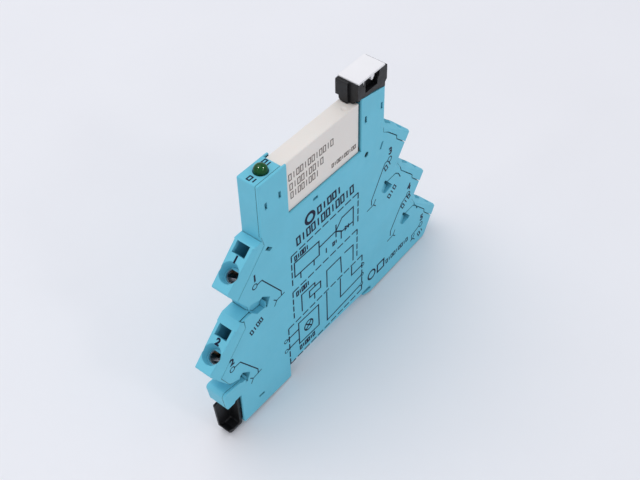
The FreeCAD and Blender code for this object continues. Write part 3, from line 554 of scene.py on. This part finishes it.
def lamp_marks_and_rim_shade():
    """Painted shade: a thin dark ring round the indicator's base, standing for the shadow in the gap; and
    two plain signs beside it, read from the coil end.
    """
    from_end = Matrix(((0, 1, 0), (-1, 0, 0), (0, 0, 1)))      # columns: right, up, out of the face
    lens_height = 1.95 * MM
    mark = Print("print_lamp_marks_and_rim_shade", "housing", INK, from_end,
                 Vector((0, 0, LAMP_HIGH.z - lens_height)), 0.32)
    # Painted shade: this ink ring stands for the shadow in the gap round the lens.
    mark.ring((0, LAMP_X), 1.82, 0.1)
    mark.wording((-0.9, -23.9), (1.8, -23.9), 1.3, 2)
    mark.wording((-1.9, -17.8), (0.6, -17.8), 1.3, 2)
    mark.done()


def wire_sleeves():
    """The steel cage that shows at the bottom of each wire funnel."""
    first, last = math.radians(-225), math.radians(45)
    steps = 18
    outer, bore, front, back = 1.82, 1.62, 2.7, 7.2
    section = ((outer, front), (1.68, front), (bore, 3.2), (bore, back), (outer, back))
    for terminal in TERMINALS:
        mesh = bmesh.new()
        rows = []
        for radius, depth in section:
            row = []
            for k in range(steps + 1):
                angle = first + (last - first) * k / steps
                spot = terminal.spot(PASSAGE_AT, -depth * MM)
                spot += (terminal.across * math.cos(angle) + terminal.up * math.sin(angle)) * radius * MM
                row.append(mesh.verts.new(spot))
            rows.append(row)
        for i, row in enumerate(rows):
            following = rows[(i + 1) % len(rows)]
            for k in range(steps):
                mesh.faces.new((row[k], row[k + 1], following[k + 1], following[k]))
        for k in (0, steps):
            mesh.faces.new([row[k] for row in rows])
        bmesh.ops.recalc_face_normals(mesh, faces=mesh.faces)
        data = bpy.data.meshes.new("wire_sleeve_" + terminal.number)
        mesh.to_mesh(data)
        mesh.free()
        data.materials.append(SLOT_MATERIALS["spring_steel"])
        piece = bpy.data.objects.new(data.name, data)
        scene.collection.objects.link(piece)
        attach(piece, "housing")


# ---- floor, light, camera -----------------------------------------------------------------
FLOOR_REACH = 4.0      # half the floor's width, in metres


def floor_frame():
    """Where the object stands: on its left leg's inner corner and its lowest right corner."""
    left = Vector((-17.6 * MM, 0, COVER_LOW.z))
    right = Vector((43.6 * MM, 0, -0.7 * MM))
    along = (right - left).normalized()
    return left, along, Vector((0, 1, 0)).cross(along) * -1


def floor_material():
    shader = Shader("floor paper", 0.1 * MM)
    shader.colour(shader.mix(shader.level(shader.noise(60.0, 4.0), 0.0, 1.0),
                             (0.83, 0.83, 0.855), (0.85, 0.85, 0.875)))
    shader.roughness(shader.level(shader.noise(3.0, 3.0), 0.55, 0.7))
    shader.bump(shader.noise(0.5, 3.0), 0.01)
    return shader.material


def make_floor():
    spot, along, normal = floor_frame()
    mesh = bmesh.new()
    bmesh.ops.create_grid(mesh, x_segments=8, y_segments=8, size=FLOOR_REACH)
    data = bpy.data.meshes.new("floor")
    mesh.to_mesh(data)
    mesh.free()
    data.materials.append(floor_material())
    floor = bpy.data.objects.new("floor", data)
    scene.collection.objects.link(floor)
    floor.matrix_world = Matrix.Translation(spot) @ Matrix((along, (0, 1, 0), normal)).transposed().to_4x4()


def aimed(name, data, place, target):
    lamp = bpy.data.objects.new(name, data)
    scene.collection.objects.link(lamp)
    lamp.location = place
    lamp.rotation_mode = "QUATERNION"
    lamp.rotation_quaternion = (Vector(target) - Vector(place)).to_track_quat("-Z", "Y")
    return lamp


def soft_box(name, place, size, power, colour):
    data = bpy.data.lights.new(name, "AREA")
    data.shape = "DISK"
    data.size = size
    data.energy = power
    data.color = colour
    return aimed(name, data, place, (0, 0, 0.03))


def lens_glint(name, place):
    """Small bright lamp that lights the indicator's dome only."""
    lamp = soft_box(name, place, 0.10, 1.6, (1.0, 1.0, 1.0))
    receivers = bpy.data.collections.new(name)
    receivers.objects.link(bpy.data.objects["led_lens"])
    lamp.light_linking.receiver_collection = receivers


def make_light():
    world = bpy.data.worlds.new("studio")
    scene.world = world
    world.use_nodes = True
    background = world.node_tree.nodes["Background"]
    background.inputs["Color"].default_value = (0.86, 0.88, 0.94, 1.0)
    background.inputs["Strength"].default_value = 0.80
    soft_box("ceiling softbox", (-0.1, 0.35, 0.9), 0.9, 2.7, (1.0, 0.99, 0.98))
    soft_box("left lamp", (-0.77, 0.16, 0.62), 0.12, 0.25, (0.98, 0.99, 1.0))
    soft_box("front lamp", (0.0, -0.80, 0.60), 0.12, 0.55, (1.0, 0.98, 0.95))
    lens_glint("lens glint behind", (-0.20, 0.14, 0.49))
    lens_glint("lens glint in front", (0.19, -0.28, 0.43))


def make_camera():
    """Looks down on the printed side and the coil end, from the left."""
    data = bpy.data.cameras.new("camera")
    data.sensor_width = 36.0
    data.lens = 59.4
    data.clip_start, data.clip_end = 0.01, 10.0
    camera = bpy.data.objects.new("camera", data)
    scene.collection.objects.link(camera)
    camera.location = Vector((-142.74, -120.04, 225.73)) * MM
    camera.rotation_euler = [math.radians(angle) for angle in (43.77, 1.095, -50.984)]
    scene.camera = camera


scene.view_settings.view_transform = "Standard"
dress_nodes()
terminal_symbols()
terminal_numbers()
relay_circuit()
socket_circuit()
module_circuit()
cover_wording()
relay_wording()
lamp_marks_and_rim_shade()
wire_sleeves()
make_floor()
make_light()
make_camera()
